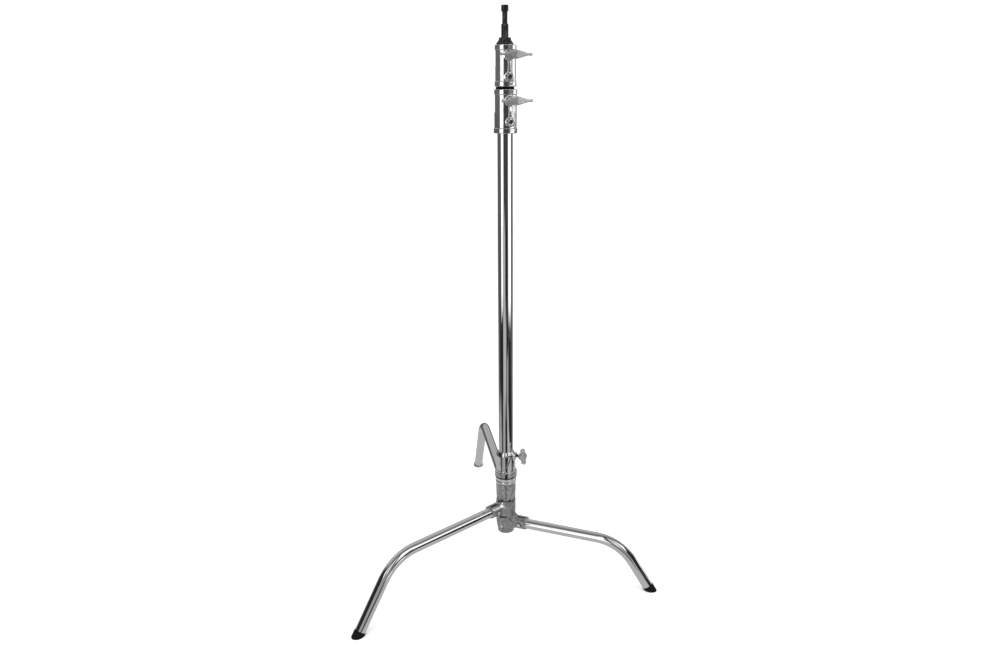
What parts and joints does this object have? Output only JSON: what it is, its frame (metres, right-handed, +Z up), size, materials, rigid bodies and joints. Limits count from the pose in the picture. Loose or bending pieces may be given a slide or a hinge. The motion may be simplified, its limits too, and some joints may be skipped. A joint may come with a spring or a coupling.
{
  "type": "c stand",
  "caption": "Grip stand with a nesting turtle base, one leg on a sliding collar, a chrome column and telescoping risers that end in a baby pin.",
  "frame": {"origin": "the column's axis at floor level, where the stand is centred over its mark", "axes": "+Z up along the column and the baby pin, +X to the right seen from the front, -Y towards the front"},
  "size_m": [0.7126, 0.9179, 1.3502],
  "materials": {
    "chrome_tube": "polished chrome plate on steel tube, fine draw lines and light scuffs",
    "chrome_casting": "chrome plate on a casting, a little softer and wavier than the tubes",
    "cast_hub": "tumbled grey casting, grainy and satin",
    "satin_handle": "satin cast metal with a fine grain",
    "black_pin": "glossy black oxide, worn brighter at the edges",
    "steel_fastener": "bright zinc",
    "dark_steel": "oiled black steel thread and spring steel",
    "rubber": "matt black moulded rubber",
    "white_nylon": "natural nylon",
    "black_nylon": "black nylon"
  },
  "bodies": {
    "base": {"column_tube": "chrome_tube", "lower_hub": "cast_hub", "lower_hub_screw": "steel_fastener", "short_leg_tube": "chrome_tube", "short_leg_bolt": "steel_fastener", "short_leg_nut": "steel_fastener", "short_leg_foot": "rubber", "hub_spring": "dark_steel", "spring_washer": "dark_steel", "spring_clip": "dark_steel", "column_lock_casting": "chrome_casting", "column_lock_bush": "white_nylon", "column_lock_screw": "steel_fastener", "buffer_ring": "rubber"},
    "middle_leg": {"middle_hub": "cast_hub", "middle_hub_washer": "black_nylon", "middle_leg_tube": "chrome_tube", "middle_leg_bolt": "steel_fastener", "middle_leg_nut": "steel_fastener", "middle_leg_foot": "rubber"},
    "slider": {"sliding_collar": "chrome_casting", "slider_liner": "white_nylon", "slider_clip": "dark_steel"},
    "tall_leg": {"tall_hub": "cast_hub", "tall_leg_tube": "chrome_tube", "tall_leg_bolt": "steel_fastener", "tall_leg_nut": "steel_fastener", "tall_leg_foot": "rubber"},
    "slider_brake": {"slider_shoe": "white_nylon"},
    "slider_knob": {"slider_knob_stud": "dark_steel", "slider_knob_wing": "satin_handle"},
    "column_brake": {"column_shoe": "white_nylon"},
    "column_handle": {"column_handle_stud": "dark_steel", "column_handle_wing": "satin_handle"},
    "riser_1_guide": {"riser_1_plug": "white_nylon"},
    "riser_1": {"riser_1_tube": "chrome_tube", "riser_1_lock_casting": "chrome_casting", "riser_1_lock_bush": "white_nylon", "riser_1_lock_screw": "steel_fastener"},
    "riser_1_brake": {"riser_1_shoe": "white_nylon"},
    "riser_1_handle": {"riser_1_handle_stud": "dark_steel", "riser_1_handle_wing": "satin_handle"},
    "riser_2_guide": {"riser_2_plug": "white_nylon"},
    "riser_2": {"riser_2_tube": "chrome_tube", "riser_2_roll_pin": "steel_fastener", "pin_cap": "black_pin", "baby_pin": "black_pin"}
  },
  "joints": [
    {"name": "middle_leg_fold", "type": "hinge", "parent": "base", "child": "middle_leg", "pos_m": [0, 0, 0.154], "axis": [0, 0, 1], "range_deg": [0, 114]},
    {"name": "slider_slide", "type": "slide", "parent": "base", "child": "slider", "axis": [0, 0, 1], "range_m": [0, 0.77]},
    {"name": "tall_leg_turn", "type": "hinge", "parent": "slider", "child": "tall_leg", "pos_m": [0, 0, 0.22], "axis": [0, 0, 1], "continuous": true},
    {"name": "slider_brake_slide", "type": "slide", "parent": "slider", "child": "slider_brake", "axis": [0.9397, -0.342, 0], "range_m": [0, 0.00187]},
    {"name": "slider_knob_turn", "type": "hinge", "parent": "slider_brake", "child": "slider_knob", "pos_m": [0.05638, -0.02052, 0.295], "axis": [0.9397, -0.342, 0], "range_deg": [0, 545]},
    {"name": "column_brake_slide", "type": "slide", "parent": "base", "child": "column_brake", "axis": [0.4067, -0.9135, 0], "range_m": [0, 0.00225]},
    {"name": "column_handle_turn", "type": "hinge", "parent": "column_brake", "child": "column_handle", "pos_m": [0.0244, -0.05481, 1.15], "axis": [0.4067, -0.9135, 0], "range_deg": [0, 545]},
    {"name": "riser_1_slide", "type": "slide", "parent": "base", "child": "riser_1_guide", "axis": [0, 0, 1], "range_m": [0, 0.9495]},
    {"name": "riser_1_spin", "type": "hinge", "parent": "riser_1_guide", "child": "riser_1", "pos_m": [0, 0, 0.178], "axis": [0, 0, 1], "continuous": true},
    {"name": "riser_1_brake_slide", "type": "slide", "parent": "riser_1", "child": "riser_1_brake", "axis": [0.3746, -0.9272, 0], "range_m": [0, 0.00225]},
    {"name": "riser_1_handle_turn", "type": "hinge", "parent": "riser_1_brake", "child": "riser_1_handle", "pos_m": [0.02248, -0.05563, 1.246], "axis": [0.3746, -0.9272, 0], "range_deg": [0, 545]},
    {"name": "riser_2_slide", "type": "slide", "parent": "riser_1", "child": "riser_2_guide", "axis": [0, 0, 1], "range_m": [0, 0.9495]},
    {"name": "riser_2_spin", "type": "hinge", "parent": "riser_2_guide", "child": "riser_2", "pos_m": [0, 0, 0.2749], "axis": [0, 0, 1], "continuous": true}
  ],
  "couplings": [
    {"joint": "slider_knob_turn", "follows": "slider_brake_slide", "rad_per_m": 5026.5},
    {"joint": "column_handle_turn", "follows": "column_brake_slide", "rad_per_m": 4188.8},
    {"joint": "riser_1_handle_turn", "follows": "riser_1_brake_slide", "rad_per_m": 4188.8}
  ]
}
